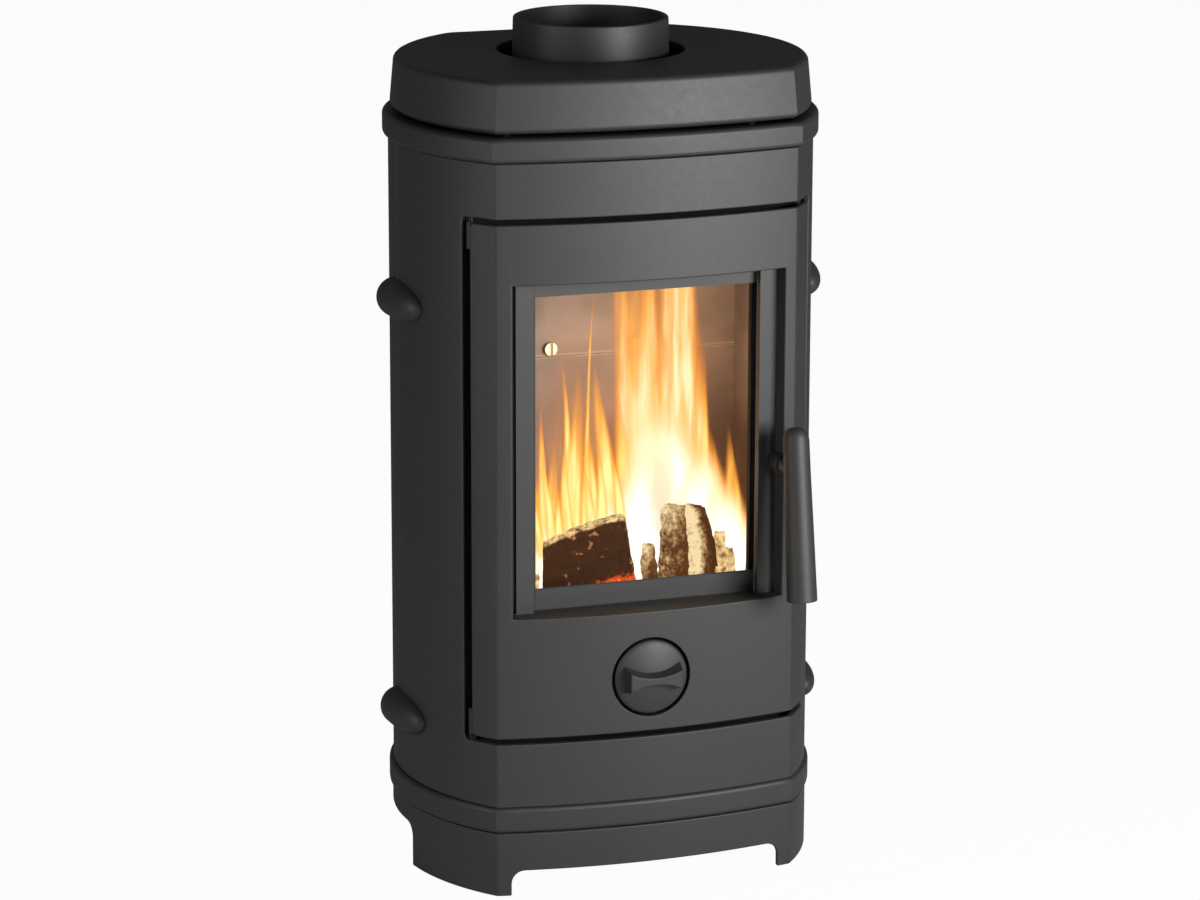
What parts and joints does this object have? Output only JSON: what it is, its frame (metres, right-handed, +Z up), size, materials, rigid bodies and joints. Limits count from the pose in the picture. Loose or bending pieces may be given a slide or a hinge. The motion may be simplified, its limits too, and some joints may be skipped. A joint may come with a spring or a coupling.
{
  "type": "wood stove",
  "caption": "Cast-iron wood stove with a bowed glazed door, swing handle, round air dial, top flue collar and a footed plinth.",
  "frame": {"origin": "on the floor, under the middle of the rectangle that the whole stove covers", "axes": "+Z up, the door and its handle face -Y, +X is on the right of someone who faces the door"},
  "size_m": [0.451, 0.396, 0.838],
  "materials": {
    "cast_paint": "cast iron under matt heat-resistant anthracite paint",
    "black_steel": "blackened steel",
    "steel": "plain steel",
    "fired_iron": "bare cast iron, browned by the fire",
    "glass_fibre": "knitted glass-fibre rope",
    "window_glass": "clear heat-resistant glass"
  },
  "bodies": {
    "stove": {"plinth": "cast_paint", "bottom_plate": "cast_paint", "front_shell": "cast_paint", "rear_shell": "cast_paint", "top_plate": "cast_paint", "lid": "cast_paint", "flue_collar": "cast_paint", "front_frame": "cast_paint", "collar_bolt_1": "black_steel", "collar_bolt_2": "black_steel", "collar_bolt_3": "black_steel", "ear_bolt_lower_left": "black_steel", "ear_bolt_lower_right": "black_steel", "ear_bolt_upper_left": "black_steel", "ear_bolt_upper_right": "black_steel", "ash_shelf": "black_steel", "tie_rod_front_left": "steel", "tie_nut_front_left": "steel", "tie_rod_front_right": "steel", "tie_nut_front_right": "steel", "tie_rod_rear_left": "steel", "tie_nut_rear_left": "steel", "tie_rod_rear_right": "steel", "tie_nut_rear_right": "steel", "lining_screw_left": "steel", "lining_screw_right": "steel", "latch_keeper": "steel", "keeper_screw_upper": "steel", "keeper_screw_lower": "steel", "hinge_pin_lower": "steel", "hinge_pin_upper": "steel", "ash_pan": "steel", "hearth_plate": "fired_iron", "grate": "fired_iron", "log_guard": "fired_iron", "side_lining_left": "fired_iron", "side_lining_right": "fired_iron", "back_lining_lower": "fired_iron", "back_lining_upper": "fired_iron", "baffle": "fired_iron"},
    "door": {"door": "cast_paint", "window_gasket": "glass_fibre", "window_glass": "window_glass", "door_rope": "glass_fibre", "glass_clip_lower_left": "black_steel", "clip_screw_lower_left": "black_steel", "glass_clip_lower_right": "black_steel", "clip_screw_lower_right": "black_steel", "glass_clip_upper_left": "black_steel", "clip_screw_upper_left": "black_steel", "glass_clip_upper_right": "black_steel", "clip_screw_upper_right": "black_steel"},
    "door_handle": {"handle": "cast_paint", "handle_spindle": "steel", "latch_cam": "steel", "cam_nut": "steel"},
    "air_control": {"air_dial": "cast_paint", "air_shutter": "steel", "dial_nut": "steel"}
  },
  "joints": [
    {"name": "door_hinge", "type": "hinge", "parent": "stove", "child": "door", "pos_m": [-0.16804, -0.10146, 0.415], "axis": [0, 0, -1], "range_deg": [0, 100]},
    {"name": "handle_turn", "type": "hinge", "parent": "door", "child": "door_handle", "pos_m": [0.1427, -0.11557, 0.4148], "axis": [0, -1, 0], "range_deg": [0, 80]},
    {"name": "air_dial_turn", "type": "hinge", "parent": "door", "child": "air_control", "pos_m": [0, -0.11557, 0.2153], "axis": [0, -1, 0], "range_deg": [0, 90]}
  ]
}
